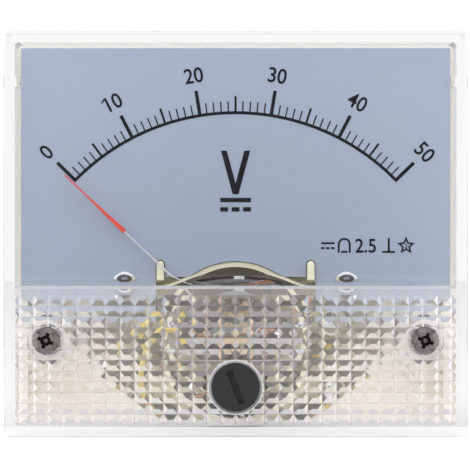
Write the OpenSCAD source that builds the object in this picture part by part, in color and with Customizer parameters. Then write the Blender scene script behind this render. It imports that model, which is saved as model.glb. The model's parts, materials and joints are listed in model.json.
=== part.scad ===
// Analog panel meter: a moving-coil voltmeter in a moulded case with a clear front cover.
// Millimetres. The front faces -Y, +X is to the right as the dial is read, and +Z is up.
// The origin is on the axis of the round case, in the plane where the flange seats on the panel.

/* [Front cover] */
// Width of the cover
face_w = 64; // [63.5:0.1:65]
// Height of the cover
face_h = 56; // [55.6:0.1:57]
// Height of the cover's centre above the axis of the round case
face_rise = 3; // [2.8:0.1:3.2]
// Depth of the cover in front of the panel
cover_d = 13; // [13:0.1:14]
// Thickness of the window and of the cover's side walls
cover_t = 1.5; // [1.3:0.1:1.6]
// Radius of the cover's corners, seen from the front
corner_r = 1; // [0.7:0.1:1.4]
// Radius of the edge round the cover's front face
edge_r = 0.4; // [0.3:0.1:0.6]
// Thickness of the ribbed panel below the window, without its ribs
panel_t = 2.5; // [2.4:0.1:2.6]
// Height below which the ribbed panel has its full thickness
panel_top_z = -4.5; // [-4.7:0.1:-4.3]
// Radius of the curve from the window to the thicker panel
cove_r = 2.35; // [2.2:0.05:2.6]

/* [Ribbed panel] */
// Gap from the grid of ribs to each side wall of the cover
grid_gap = 0.5; // [0.4:0.1:0.8]
// Number of columns of cells
cell_cols = 30; // [26:2:34]
// Number of rows of cells
cell_rows = 12; // [10:1:14]
// Height of the ribs on the inner face
rib_h = 0.5; // [0.3:0.02:0.56]
// Width of one flank of an upright rib
rib_flank = 0.625; // [0.6:0.005:0.7]

/* [Case] */
// Outer radius of the round case behind the panel
case_r = 24.25; // [24.1:0.05:24.5]
// Length of the round case behind the panel
case_len = 27; // [27:0.5:30]
// Thickness of the round case's wall
case_wall = 1.6; // [1.4:0.1:1.6]
// Thickness of the case's flange
flange_t = 2.5; // [2.2:0.1:2.8]
// Gap all round between the flange and the cover's walls
nest_gap = 0.15; // [0.1:0.05:0.2]
// Distance from each side of the cover in to the mounting stud's axis
stud_inset = 5.75; // [5.7:0.05:5.85]
// Height of the mounting studs
stud_z = -11.7; // [-11.8:0.1:-11.6]
// Radius of the mounting studs
stud_r = 1.5; // [1.45:0.05:1.5]
// How far the mounting studs stand out behind the panel
stud_len = 12; // [10:0.5:14]
// Half the spacing of the terminals
terminal_x = 12.5; // [12.4:0.1:13]
// Radius of the terminal studs
terminal_r = 2; // [1.9:0.05:2]

/* [Dial] */
// Gap from the dial plate to each side wall of the cover
dial_side_gap = 0.55; // [0.5:0.05:0.75]
// Gap from the dial plate to the cover's top wall
dial_top_gap = 0.5; // [0.4:0.1:0.7]
// Height of the dial plate's bottom edge
dial_low_z = -8; // [-8:0.05:-7.9]
// Depth of the dial plate's front face in front of the panel
dial_d = 6.2; // [6.1:0.05:6.3]
// Radius of the scale arc
scale_r = 31.3; // [31:0.1:31.5]
// Angle from straight up to each end of the scale
scale_half = 45.7; // [45:0.1:46]
// Number of divisions on the scale
scale_steps = 50; // [40:10:60]

/* [Movement] */
// Height of the pointer's axis
pivot_z = -11.3; // [-11.35:0.05:-11.25]
// Angle from straight up at which the pointer rests, to the left
rest_angle = 46.5; // [46.3:0.1:46.6]
// Length of the pointer from its axis
pointer_len = 32.8; // [32:0.1:33]
// Radius at which the pointer's arm ends and its blade starts
blade_start = 21.3; // [21:0.1:22]
// Outer radius of the iron ring round the coil
yoke_r = 9.7; // [9.65:0.05:9.7]
// Radius of the magnet core inside the coil
core_r = 6.3; // [6.2:0.1:6.4]

/* [Zero adjuster] */
// Height of the zero adjuster's axis
zero_z = -18.07; // [-18.12:0.01:-18.02]
// Radius of the zero adjuster's disc
zero_r = 3.35; // [3.2:0.05:3.4]
// Offset of the zero adjuster's pin from its axis
zero_offset = 0.8; // [0.7:0.05:0.8]
// Angle of the zero adjuster's slot from upright, to the left
slot_angle = 21; // [0:1:90]

/* [Hidden] */
$fn = 72;
past = 1;           // how far a cutter runs past the face that it cuts
bond = 0.2;         // how far joined shapes of one piece run into each other
thread_gap = 0.02;  // radial gap of a screw in its tapped hole

// Cover, from the front face back
front_y = -cover_d;
window_y = front_y + cover_t;
panel_y = front_y + panel_t;
face_low_z = face_rise - face_h / 2;
inner_w = face_w - 2 * cover_t;
inner_h = face_h - 2 * cover_t;
inner_r = 0.5;
grid_half_w = inner_w / 2 - grid_gap;
cove_turn = acos(1 - (panel_t - cover_t) / cove_r);
cove_top_z = panel_top_z + cove_r * sin(cove_turn);
cove_steps = 24;
grid_top_z = panel_top_z - 0.9;
grid_low_z = face_low_z + cover_t + 0.1;
cell_w = 2 * grid_half_w / cell_cols;
cell_h = (grid_top_z - grid_low_z) / cell_rows;

// Cover screws and the bosses they pass through
stud_x = face_w / 2 - stud_inset;
pocket_r = 2.5;
pocket_floor_y = front_y + 2.1;
pocket_wall = 0.4;
pocket_back_y = pocket_floor_y + 0.8;
neck_tube_r = 1.9;
boss_end_y = -7;
screw_hole_r = 1.1;
cover_screw_r = 1;
cover_head_r = 1.82;
cover_head_h = 1.4;
cover_screw_end_y = -3;

// Zero adjuster in its recess
recess_r = zero_r + 0.34;
recess_y = front_y + 1;
zero_boss_r = 3.2;
zero_boss_y = panel_y + 0.65;
zero_shaft_r = 1.5;
zero_run_gap = 0.05;
zero_pin_r = 0.4;
slot_w = 0.9;
slot_len = 4.8;

// Flange and its rim
flange_w = inner_w - 2 * nest_gap;
flange_h = inner_h - 2 * nest_gap;
dial_t = 0.5;
dial_y = -dial_d;
dial_w = inner_w - 2 * dial_side_gap;
dial_top_z = face_rise + inner_h / 2 - dial_top_gap;
rim_y = dial_y + dial_t;
rim_t = 1.3;
post_r = 3.4;
case_bore_r = case_r - case_wall;
case_floor_t = 2;
floor_y = case_len - case_floor_t;
case_edge_r = 1.2;
collar_r = 2.2;
shank_r = stud_r + 0.3;
terminal_z = 6;
pad_r = 5.6;
pad_h = 0.6;

// Movement, whose parts are placed about the pointer's axis
dial_post_x = 15.5;
dial_post_z = -3.7;
brim_z = -3.2;
guard_x = 10.5;
guard_half_w = 0.5;
guard_top_z = -0.7;
guard_gap = 0.15;
ear_x = 13.6;
ear_z = -14.9;
ear_front_y = 2;
ear_back_y = 4;
ear_r = 2.3;
cup_wall = 0.7;
cup_r = yoke_r + 0.05 + cup_wall;
cup_front_y = dial_y + 0.3;
cup_floor_y = 15;
cup_back_y = 16.5;
yoke_wall = 1.7;
yoke_front_y = 1;
yoke_back_y = 12;
core_front_y = 1.5;
core_back_y = 11.5;
spacer_w = 1.5;
spacer_x = 0.5;
bridge_y = -5.4;
bridge_t = 1;
bridge_half_h = 1.6;
bridge_post_x = yoke_r - yoke_wall / 2;
neck_r = 1.5;
jewel_r = 0.95;
cup_hole_r = 0.4;

// Coil, whose turns wrap the core from front to back
coil_half_w = core_r + 0.4;
former_t = 0.3;
winding_t = 0.45;
former_half_h = 1.2;
winding_half_h = 0.9;
coil_inner_front_y = core_front_y - 0.7;
coil_inner_back_y = core_back_y + 0.7;
coil_front_y = coil_inner_front_y - former_t - winding_t;
coil_back_y = coil_inner_back_y + former_t + winding_t;

// Staff, pointer and hairsprings
staff_r = 0.45;
staff_pin_r = 0.22;
staff_base_r = 1.6;
staff_base_t = 0.4;
collet_r = 0.8;
hub_y = -2.7;
hub_t = 0.7;
arm_y = -2.4;
arm_r = 0.14;
crank_r = 8.5;
pointer_y = -7.8;
spring_in_r = 1.15;
spring_out_r = 3.1;
spring_turns = 4;
spring_strip = 0.12;
spring_w = 0.35;
spring_front_y = -3.6;
spring_rear_y = 13.65;
spring_end_angle = 60;
zero_arm_y = -5.75;
zero_arm_t = 0.3;
pin_reach = pivot_z - zero_z - zero_offset;

// Terminal stack, from the case floor's outer face back
washer_t = 0.8;
nut_t = 3.2;
spring_washer_t = 1;
terminal_end_y = case_len + 16;
stack_y = case_len + pad_h;
first_nut_y = stack_y + washer_t;
lug_y = first_nut_y + nut_t;
second_washer_y = lug_y + washer_t;
spring_washer_y = second_washer_y + washer_t;
second_nut_y = spring_washer_y + spring_washer_t;
inner_head_t = 2.6;
wiring_y = floor_y - 4.7;
terminal_flats = 7;
washer_r = 4.5;
lug_r = 4;
lug_reach = 11;
lug_half_w = 1.6;

// Extrudes an outline drawn in x and z from depth y0 back to depth y1
module deep(y0, y1) {
    translate([0, y1, 0])
        rotate([90, 0, 0])
            linear_extrude(y1 - y0)
                children();
}

// Extrudes an outline drawn in y and z from x0 to x1
module across(x0, x1) {
    translate([x0, 0, 0])
        rotate([90, 0, 90])
            linear_extrude(x1 - x0)
                children();
}

// Round bar along y from depth y0 back to depth y1
module bar(r, y0, y1) {
    translate([0, y1, 0])
        rotate([90, 0, 0])
            cylinder(r = r, h = y1 - y0);
}

// Round bar along y that tapers from radius r0 at depth y0 to r1 at depth y1
module taper(r0, r1, y0, y1) {
    translate([0, y0, 0])
        rotate([-90, 0, 0])
            cylinder(r1 = r0, r2 = r1, h = y1 - y0);
}

// Flat ring from depth y0 back to depth y1
module ring(r_out, r_in, y0, y1) {
    difference() {
        bar(r_out, y0, y1);
        bar(r_in, y0 - past, y1 + past);
    }
}

// Hexagonal nut from depth y0 back to depth y1
module hex_nut(flats, r_in, y0, y1) {
    difference() {
        deep(y0, y1) circle(r = flats / sqrt(3), $fn = 6);
        bar(r_in, y0 - past, y1 + past);
    }
}

// Rectangle with round corners, centred on the origin
module round_rect(w, h, r) {
    square([w, h - 2 * r], center = true);
    square([w - 2 * r, h], center = true);
    for (x = [-1, 1], y = [-1, 1])
        translate([x * (w / 2 - r), y * (h / 2 - r)])
            circle(r = r);
}

// Places its children at x and z, seen from the front
module place(x, z) {
    translate([x, 0, z]) children();
}

// Places its children on both sides of the upright centre plane
module both(x, z) {
    for (side = [-1, 1])
        place(side * x, z) children();
}

// Places its children on the pointer's axis, turned clockwise as seen from the front
module pivot(turn = 0) {
    place(0, pivot_z)
        rotate([0, turn, 0])
            children();
}

// Pan-head screw whose head seats at y, with a cross recess
module pan_screw(head_r, head_h, shank_r, y, end_y) {
    crown = head_r / 3;
    difference() {
        union() {
            bar(head_r, y - head_h + crown, y);
            taper(head_r - crown, head_r, y - head_h, y - head_h + crown);
            bar(shank_r, y - bond, end_y);
        }
        for (turn = [20, 110])
            rotate([0, turn, 0])
                translate([-head_r * 0.62, y - head_h - past, -head_r * 0.14])
                    cube([head_r * 1.24, head_h * 0.6 + past, head_r * 0.28]);
        taper(head_r * 0.4, head_r * 0.1, y - head_h, y - head_h / 4);
    }
}

// Point at share t of the way from p1 to p2, on a smooth curve through p0, p1, p2 and p3
function curve_point(p0, p1, p2, p3, t) =
    0.5 * (2 * p1 + (p2 - p0) * t + (2 * p0 - 5 * p1 + 4 * p2 - p3) * t * t
        + (3 * p1 - p0 - 3 * p2 + p3) * t * t * t);

// Smooth route through the given points, with steps points for each stretch
function smooth_route(points, steps) =
    let (last = len(points) - 1)
    [for (i = [0 : last - 1], step = [0 : steps - 1])
        curve_point(points[max(i - 1, 0)], points[i], points[i + 1], points[min(i + 2, last)], step / steps),
        points[last]];

// Round wire along a route of points
module wire(route, r) {
    for (i = [0 : len(route) - 2])
        hull() {
            translate(route[i]) sphere(r = r, $fn = 10);
            translate(route[i + 1]) sphere(r = r, $fn = 10);
        }
}

// Flat spiral strip that starts at spring_in_r and ends at spring_out_r at angle end_angle
module spiral(end_angle, hand) {
    steps = 30 * spring_turns;
    growth = (spring_out_r - spring_in_r) / steps;
    function edge(i, off) = let (a = end_angle - hand * 360 * (steps - i) * spring_turns / steps)
        (spring_in_r + growth * i + off) * [cos(a), sin(a)];
    polygon(concat(
        [for (i = [0 : steps]) edge(i, -spring_strip / 2)],
        [for (i = [steps : -1 : 0]) edge(i, spring_strip / 2)]));
}

// Outer block of the cover, with round corners and a round front edge
module cover_block() {
    reach = 4 * cover_d;
    intersection() {
        deep(front_y, 0) round_rect(face_w, face_h, corner_r);
        across(-face_w, face_w)
            translate([front_y + reach / 2, 0]) round_rect(reach, face_h, edge_r);
        translate([0, 0, -face_h])
            linear_extrude(2 * face_h)
                translate([0, front_y + reach / 2]) round_rect(face_w, reach, edge_r);
    }
}

// Upright ribs of the grid, on the inner face of the ribbed panel
module upright_ribs() {
    lines = [for (i = [0 : cell_cols]) i * cell_w - grid_half_w];
    teeth = [for (x = lines, p = [[-rib_flank, 0], [0, rib_h], [rib_flank, 0]]) [x + p[0], panel_y + p[1]]];
    outer = grid_half_w + rib_flank;
    translate([0, 0, grid_low_z])
        linear_extrude(grid_top_z - grid_low_z)
            polygon(concat([[-outer, panel_y - bond]], teeth, [[outer, panel_y - bond]]));
}

// Level ribs of the grid, on the inner face of the ribbed panel
module level_ribs() {
    teeth = [for (i = [0 : cell_rows]) each [
        [panel_y + rib_h, grid_low_z + i * cell_h],
        if (i < cell_rows) [panel_y, grid_low_z + (i + 0.5) * cell_h]]];
    across(-grid_half_w - rib_flank, grid_half_w + rib_flank)
        polygon(concat([[panel_y - bond, grid_low_z]], teeth, [[panel_y - bond, grid_top_z]]));
}

// Small lugs on the cover's side walls that hold the dial plate down
module dial_lugs() {
    lug_z = face_rise + inner_h / 2 - 6.1;
    lug_h = 1.4;
    lug_w = 0.8;
    for (side = [-1, 1])
        translate([side * (inner_w / 2 - lug_w / 2), (window_y + dial_y - bond) / 2, lug_z + lug_h / 2])
            cube([lug_w, dial_y - window_y + bond, lug_h], center = true);
}

module front_cover() {
    color([0.93, 0.95, 0.98, 0.4])
        difference() {
            union() {
                difference() {
                    place(0, face_rise) cover_block();
                    place(0, face_rise) deep(window_y, past) round_rect(inner_w, inner_h, inner_r);
                }
                panel_slab();
                upright_ribs();
                level_ribs();
                dial_lugs();
                both(stud_x, stud_z) {
                    bar(pocket_r + pocket_wall, panel_y - bond, pocket_back_y);
                    bar(neck_tube_r, panel_y, boss_end_y);
                }
                place(0, zero_z) bar(zero_boss_r, panel_y - bond, zero_boss_y);
            }
            both(stud_x, stud_z) {
                bar(pocket_r, front_y - past, pocket_floor_y);
                bar(screw_hole_r, front_y, boss_end_y + past);
            }
            place(0, zero_z) {
                bar(recess_r, front_y - past, recess_y);
                bar(zero_shaft_r + zero_run_gap, front_y, zero_boss_y + past);
            }
        }
}

// Thicker lower part of the cover's front, which curves out of the window
module panel_slab() {
    curve = [for (i = [0 : cove_steps]) let (a = cove_turn * (1 - i / cove_steps))
        [window_y + cove_r * (1 - cos(a)), cove_top_z - cove_r * sin(a)]];
    across(-inner_w / 2 - bond, inner_w / 2 + bond)
        polygon(concat([[front_y + bond + edge_r, face_low_z + edge_r + bond],
            [panel_y, face_low_z + edge_r + bond]], curve, [[front_y + bond + edge_r, cove_top_z]]));
}

// Round case with a round rear edge, still solid inside
module case_block() {
    bar(case_r, 0, case_len - case_edge_r);
    bar(case_r - case_edge_r, 0, case_len);
    translate([0, case_len - case_edge_r, 0])
        rotate([-90, 0, 0])
            rotate_extrude()
                translate([case_r - case_edge_r, 0])
                    circle(r = case_edge_r);
}

module rear_case() {
    color([0.92, 0.89, 0.82])
        difference() {
            union() {
                difference() {
                    union() {
                        flange();
                        case_block();
                    }
                    bar(case_bore_r, -flange_t - past, floor_y);
                }
                both(stud_x, stud_z) bar(post_r, boss_end_y, -flange_t + bond);
                both(dial_post_x, dial_post_z) bar(ear_r, ear_back_y, floor_y + bond);
                intersection() {
                    both(ear_x, ear_z) bar(ear_r, ear_back_y, floor_y + bond);
                    bar(case_r - bond, 0, case_len);
                }
                both(terminal_x, terminal_z) bar(pad_r, case_len - bond, stack_y);
                polarity_marks();
            }
            both(stud_x, stud_z) bar(shank_r, boss_end_y - past, past);
            both(stud_x, stud_z) bar(collar_r, boss_end_y - past, -flange_t);
            both(terminal_x, terminal_z) bar(terminal_r + 0.05, floor_y - past, stack_y + past);
            both(ear_x, ear_z) bar(cover_screw_r, ear_back_y - past, 10);
        }
}

// Square flange with its rim
module flange() {
    difference() {
        place(0, face_rise) deep(rim_y, 0) round_rect(flange_w, flange_h, inner_r);
        place(0, face_rise) deep(rim_y - past, -flange_t)
            round_rect(flange_w - 2 * rim_t, flange_h - 2 * rim_t, inner_r);
    }
}

// Raised plus and minus beside the terminals
module polarity_marks() {
    mark_z = 15;
    mark_len = 3.6;
    mark_w = 0.8;
    mark_h = 0.4;
    for (side = [-1, 1])
        translate([side * terminal_x, case_len + mark_h / 2 - bond / 2, mark_z])
            cube([mark_len, mark_h + bond, mark_w], center = true);
    translate([terminal_x, case_len + mark_h / 2 - bond / 2, mark_z])
        cube([mark_w, mark_h + bond, mark_len], center = true);
}

module cover_screws() {
    color([0.45, 0.43, 0.42])
        both(stud_x, stud_z)
            pan_screw(cover_head_r, cover_head_h, cover_screw_r - thread_gap, pocket_floor_y,
                cover_screw_end_y);
}

// Studs moulded into the case, tapped in front for the cover screws
module mounting_studs() {
    color([0.78, 0.76, 0.7])
        both(stud_x, stud_z)
            difference() {
                union() {
                    bar(stud_r, -bond, stud_len);
                    bar(shank_r, -flange_t - bond, 0);
                    bar(collar_r, boss_end_y + 0.4, -flange_t);
                }
                bar(cover_screw_r, boss_end_y, cover_screw_end_y + 0.5);
            }
}

// Outline of one guard post, with a round top
module post_outline(grow) {
    low_z = brim_z - 0.9;
    translate([-guard_half_w - grow, low_z])
        square([2 * (guard_half_w + grow), guard_top_z - guard_half_w - low_z]);
    translate([0, guard_top_z - guard_half_w]) circle(r = guard_half_w + grow);
}

module both_guards(y0, y1, grow) {
    both(guard_x, 0) deep(y0, y1) post_outline(grow);
}

module dial_plate() {
    brim_half_w = guard_x + guard_half_w + guard_gap;
    color([0.68, 0.73, 0.8])
        difference() {
            deep(dial_y, rim_y)
                translate([-dial_w / 2, dial_low_z])
                    square([dial_w, dial_top_z - dial_low_z]);
            pivot() bar(cup_r + 0.1, dial_y - past, rim_y + past);
            deep(dial_y - past, rim_y + past)
                translate([-brim_half_w, dial_low_z - past])
                    square([2 * brim_half_w, brim_z - dial_low_z + past]);
            both_guards(dial_y - past, rim_y + past, guard_gap);
            both(dial_post_x, dial_post_z) bar(screw_hole_r, dial_y - past, rim_y + past);
        }
}

// One tick that stands outward from the scale arc
module tick(length, width) {
    translate([-width / 2, scale_r - bond])
        square([width, length + bond]);
}

// Printed arc, ticks, unit letter and direct-current sign
module scale_print() {
    print_t = 0.04;
    arc_w = 0.42;
    step_angle = 2 * scale_half / scale_steps;
    color([0.1, 0.1, 0.12]) {
        pivot()
            deep(dial_y - print_t, dial_y) {
                difference() {
                    circle(r = scale_r + arc_w / 2, $fn = 180);
                    circle(r = scale_r - arc_w / 2, $fn = 180);
                    for (side = [0, 1])
                        mirror([side, 0])
                            rotate(-scale_half)
                                translate([0, -2 * scale_r])
                                    square(4 * scale_r);
                    translate([-2 * scale_r, -4 * scale_r]) square(4 * scale_r);
                }
                for (i = [0 : scale_steps])
                    rotate(scale_half - i * step_angle)
                        if (i % 10 == 0) tick(3.5, 0.48);
                        else if (i % 5 == 0) tick(2.3, 0.3);
                        else tick(1.6, 0.18);
            }
        deep(dial_y - print_t, dial_y) {
            letter_v();
            direct_sign();
        }
    }
}

// Letter V of the unit
module letter_v() {
    top_z = 14.7;
    half_w = 2.05;
    height = 6.1;
    stroke = 0.82;
    foot = stroke / 2;
    low_z = top_z - height;
    crotch_z = top_z - height * (half_w - stroke) / (half_w - foot);
    polygon([[-half_w, top_z], [-half_w + stroke, top_z], [0, crotch_z], [half_w - stroke, top_z],
        [half_w, top_z], [foot, low_z], [-foot, low_z]]);
}

// Bar over three dashes
module direct_sign() {
    sign_w = 4.3;
    bar_h = 0.61;
    dash_w = 1.1;
    bar_low_z = 7.49;
    dash_low_z = 6.19;
    translate([-sign_w / 2, bar_low_z]) square([sign_w, bar_h]);
    for (i = [-1 : 1])
        translate([i * (sign_w - dash_w) / 2 - dash_w / 2, dash_low_z])
            square([dash_w, bar_h]);
}

module dial_screws() {
    color([0.8, 0.8, 0.82])
        both(dial_post_x, dial_post_z)
            pan_screw(1.5, 0.9, 0.8 - thread_gap, dial_y, -2.5);
}

// Flat web from the frame's cup out to a radius, set back from the ears' faces by inset
module web(half_w, out_r, inset) {
    start_r = cup_r - bond - half_w / 10;
    translate([-half_w, ear_front_y + inset, start_r])
        cube([2 * half_w, ear_back_y - ear_front_y - 2 * inset, out_r - start_r]);
}

// Flat arm from the frame's cup to a round post at x and z whose front is at post_y
module ear(x, z, post_y) {
    reach = norm([x, z - pivot_z]);
    lean = atan2(x, z - pivot_z);
    place(x, z) bar(ear_r, post_y, ear_back_y);
    pivot(lean) web(1.7, reach, 0.2);
}

module movement_frame() {
    color([0.88, 0.84, 0.68])
        difference() {
            union() {
                pivot() {
                    difference() {
                        bar(cup_r, cup_front_y, cup_back_y);
                        bar(cup_r - cup_wall, cup_front_y - past, yoke_back_y);
                        bar(yoke_r - yoke_wall + 0.3, yoke_back_y - past, cup_floor_y);
                    }
                    spring_peg();
                }
                for (side = [-1, 1]) {
                    ear(side * dial_post_x, dial_post_z, rim_y);
                    ear(side * ear_x, ear_z, ear_front_y);
                }
                guard_posts();
            }
            both(dial_post_x, dial_post_z) bar(0.8, rim_y - past, -2);
            both(ear_x, ear_z) bar(screw_hole_r, ear_front_y - past, ear_back_y + past);
            pivot() bar(jewel_r, cup_floor_y - past, cup_back_y + past);
        }
}

// Peg that holds the outer end of the rear hairspring
module spring_peg() {
    rotate([0, -spring_end_angle, 0])
        translate([spring_out_r + spring_strip / 2 + 0.02, spring_rear_y, -0.4])
            cube([0.6, cup_floor_y - spring_rear_y + bond, 0.8]);
}

// Posts beside the dial's opening that guard the pointer, each on a foot that joins the cup
module guard_posts() {
    both_guards(pointer_y + arm_r + 0.3, ear_back_y - 0.1, 0);
    for (side = [-1, 1])
        pivot(side * 54) web(0.8, norm([guard_x, brim_z - pivot_z]), 0.4);
}

module yoke_ring() {
    color([0.42, 0.4, 0.38])
        pivot() ring(yoke_r, yoke_r - yoke_wall, yoke_front_y, yoke_back_y);
}

module magnet_core() {
    color([0.5, 0.5, 0.52])
        pivot() bar(core_r, core_front_y, core_back_y);
}

// Blocks above and below the core, clear of the coil, that hold it inside the yoke
module core_spacers() {
    color([0.85, 0.85, 0.86])
        pivot()
            intersection() {
                ring(yoke_r - yoke_wall, core_r, yoke_front_y + 0.5, 8);
                translate([spacer_x - spacer_w / 2, 0, -yoke_r]) cube([spacer_w, yoke_back_y, 2 * yoke_r]);
            }
}

module movement_screws() {
    color([0.75, 0.75, 0.77])
        both(ear_x, ear_z)
            pan_screw(1.8, 1.2, cover_screw_r - thread_gap, ear_front_y, 9.5);
}

module bridge_posts() {
    color([0.8, 0.66, 0.36])
        place(0, pivot_z)
            both(bridge_post_x, 0)
                difference() {
                    bar(yoke_wall / 2 - 0.05, bridge_y + bridge_t, yoke_front_y);
                    bar(0.5, bridge_y, bridge_y + bridge_t + 2.5);
                }
}

module front_bridge() {
    half_len = bridge_post_x + 0.5;
    color([0.78, 0.78, 0.76])
        pivot()
            difference() {
                union() {
                    translate([-half_len, bridge_y, -bridge_half_h])
                        cube([2 * half_len, bridge_t, 2 * bridge_half_h]);
                    bar(neck_r, zero_arm_y - 0.05, bridge_y + bond);
                }
                bar(jewel_r, zero_arm_y - past, bridge_y + bridge_t + past);
                both(bridge_post_x, 0) bar(0.55, bridge_y - past, bridge_y + bridge_t + past);
            }
}

module bridge_screws() {
    color([0.75, 0.75, 0.77])
        place(0, pivot_z)
            both(bridge_post_x, 0)
                pan_screw(0.85, 0.7, 0.5 - thread_gap, bridge_y, bridge_y + bridge_t + 2);
}

// Jewel screw whose hollow end at inner_y holds the staff's pin
module jewel_screw(outer_y, inner_y) {
    inward = sign(inner_y - outer_y);
    slot_y = outer_y + inward * 0.2;
    difference() {
        bar(jewel_r - thread_gap, min(outer_y, inner_y), max(outer_y, inner_y));
        bar(cup_hole_r, inner_y - 0.55, inner_y + 0.55);
        translate([0, slot_y, 0]) cube([3 * jewel_r, 0.5, 0.35], center = true);
    }
}

module front_jewel_screw() {
    color("goldenrod") pivot() jewel_screw(-7, -4.2);
}

module rear_jewel_screw() {
    color("goldenrod") pivot() jewel_screw(17.7, 14.7);
}

module front_lock_nut() {
    color([0.8, 0.66, 0.36]) pivot() hex_nut(3.4, jewel_r, zero_arm_y - 0.85, zero_arm_y - 0.05);
}

module rear_lock_nut() {
    color([0.8, 0.66, 0.36]) pivot() hex_nut(3.4, jewel_r, cup_back_y, cup_back_y + 0.8);
}

// Hub, cranked arm and spigot that carry the pointer's blade over the dial
module pointer_arm() {
    spigot = 1.2;
    color([0.85, 0.85, 0.87])
        pivot(-rest_angle) {
            ring(collet_r + 0.5, staff_r, hub_y, hub_y + hub_t);
            translate([0, arm_y, collet_r]) cylinder(r = arm_r, h = crank_r - collet_r);
            translate([0, arm_y, crank_r]) sphere(r = arm_r);
            translate([0, 0, crank_r]) bar(arm_r, pointer_y, arm_y);
            translate([0, pointer_y, crank_r]) sphere(r = arm_r);
            translate([0, pointer_y, crank_r]) cylinder(r = arm_r, h = blade_start - crank_r);
            translate([0, pointer_y, blade_start - bond]) cylinder(r = arm_r - 0.05, h = spigot + bond);
        }
}

// Painted blade that tapers to a fine tip
module pointer_blade() {
    blunt_half_w = 0.32;
    tip_half_w = 0.1;
    taper_end = pointer_len - 3.9;
    blade_t = 0.36;
    color([0.9, 0.22, 0.14])
        pivot(-rest_angle)
            difference() {
                deep(pointer_y - blade_t / 2, pointer_y + blade_t / 2)
                    polygon([[-blunt_half_w, blade_start], [blunt_half_w, blade_start],
                        [tip_half_w, taper_end], [tip_half_w, pointer_len],
                        [-tip_half_w, pointer_len], [-tip_half_w, taper_end]]);
                translate([0, pointer_y, blade_start - past])
                    cylinder(r = arm_r - 0.05, h = 1.25 + past);
            }
}

// Three arms on the hub that carry the balance weights
module balance_arms() {
    color([0.85, 0.85, 0.87])
        pivot(-rest_angle)
            for (turn = [90, 180, 270])
                rotate([0, turn, 0])
                    translate([0, arm_y, collet_r + 0.5])
                        cylinder(r = 0.15, h = 3.2);
}

module balance_weights() {
    color([0.7, 0.7, 0.72])
        pivot(-rest_angle)
            for (turn = [90, 180, 270])
                rotate([0, turn, 0])
                    translate([0, arm_y, 3])
                        difference() {
                            cylinder(r = 0.5, h = turn == 180 ? 1.4 : 0.8);
                            translate([0, 0, -past]) cylinder(r = 0.15, h = 4);
                        }
}

// Rectangular band round the core, drawn as the coil lies at mid scale
module coil_band(inset, thickness, half_h) {
    inner_x = coil_half_w + inset;
    y0 = coil_inner_front_y - inset;
    y1 = coil_inner_back_y + inset;
    difference() {
        translate([-inner_x - thickness, y0 - thickness, -half_h])
            cube([2 * (inner_x + thickness), y1 - y0 + 2 * thickness, 2 * half_h]);
        translate([-inner_x, y0, -half_h - past])
            cube([2 * inner_x, y1 - y0, 2 * (half_h + past)]);
    }
}

module coil_former() {
    color([0.8, 0.8, 0.82])
        pivot(-rest_angle) coil_band(0, former_t, former_half_h);
}

module coil_winding() {
    color([0.72, 0.4, 0.22])
        pivot(-rest_angle) coil_band(former_t, winding_t, winding_half_h);
}

// Half of the staff, from the coil's outer face at coil_y out to its pin
module staff(coil_y, outward) {
    mirror([0, outward < 0 ? 1 : 0, 0]) {
        y = outward * coil_y;
        shoulder = y + (outward < 0 ? 3.85 : 1.35);
        bar(staff_base_r, y, y + staff_base_t);
        bar(staff_r, y, shoulder);
        bar(staff_pin_r, y, shoulder + 0.45);
        taper(staff_pin_r, 0.05, shoulder + 0.45, shoulder + 0.7);
    }
}

module front_pivot() {
    color([0.6, 0.6, 0.63]) pivot(-rest_angle) staff(coil_front_y, -1);
}

module rear_pivot() {
    color([0.6, 0.6, 0.63]) pivot(-rest_angle) staff(coil_back_y, 1);
}

module front_collet() {
    color([0.8, 0.66, 0.36]) pivot() ring(collet_r, staff_r, hub_y - 1.05, hub_y);
}

module rear_collet() {
    color([0.8, 0.66, 0.36])
        pivot() ring(collet_r, staff_r, coil_back_y + staff_base_t, coil_back_y + 1.3);
}

module front_hairspring() {
    color([0.78, 0.55, 0.3])
        pivot() deep(spring_front_y, spring_front_y + spring_w) spiral(spring_end_angle, 1);
}

module rear_hairspring() {
    color([0.78, 0.55, 0.3])
        pivot() deep(spring_rear_y, spring_rear_y + spring_w) spiral(spring_end_angle, -1);
}

// Forked lever that the zero adjuster turns, with a tab that holds the front hairspring
module zero_arm() {
    ring_r = 2.5;
    fork_half_w = 1.15;
    slot_half_w = zero_pin_r + 0.15;
    fork_top = pin_reach - 1;
    fork_end = pin_reach + 1.4;
    tab_r = spring_out_r + spring_strip / 2 + 0.04;
    arm_back_y = zero_arm_y + zero_arm_t;
    color([0.8, 0.66, 0.36])
        pivot() {
            difference() {
                union() {
                    bar(ring_r, zero_arm_y, arm_back_y);
                    translate([-0.6, zero_arm_y, -fork_top]) cube([1.2, zero_arm_t, fork_top]);
                    translate([-fork_half_w, zero_arm_y, -fork_end])
                        cube([2 * fork_half_w, zero_arm_t, fork_end - fork_top]);
                    rotate([0, -spring_end_angle, 0])
                        translate([0, zero_arm_y, -0.5]) cube([tab_r + 0.4, zero_arm_t, 1]);
                }
                bar(neck_r + 0.05, zero_arm_y - past, arm_back_y + past);
                translate([-slot_half_w, zero_arm_y - past, -fork_end - past])
                    cube([2 * slot_half_w, zero_arm_t + 2 * past, fork_end - fork_top - 0.4 + past]);
            }
            rotate([0, -spring_end_angle, 0])
                translate([tab_r, zero_arm_y, -0.5])
                    cube([0.4, spring_front_y + spring_w - zero_arm_y, 1]);
        }
}

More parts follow.
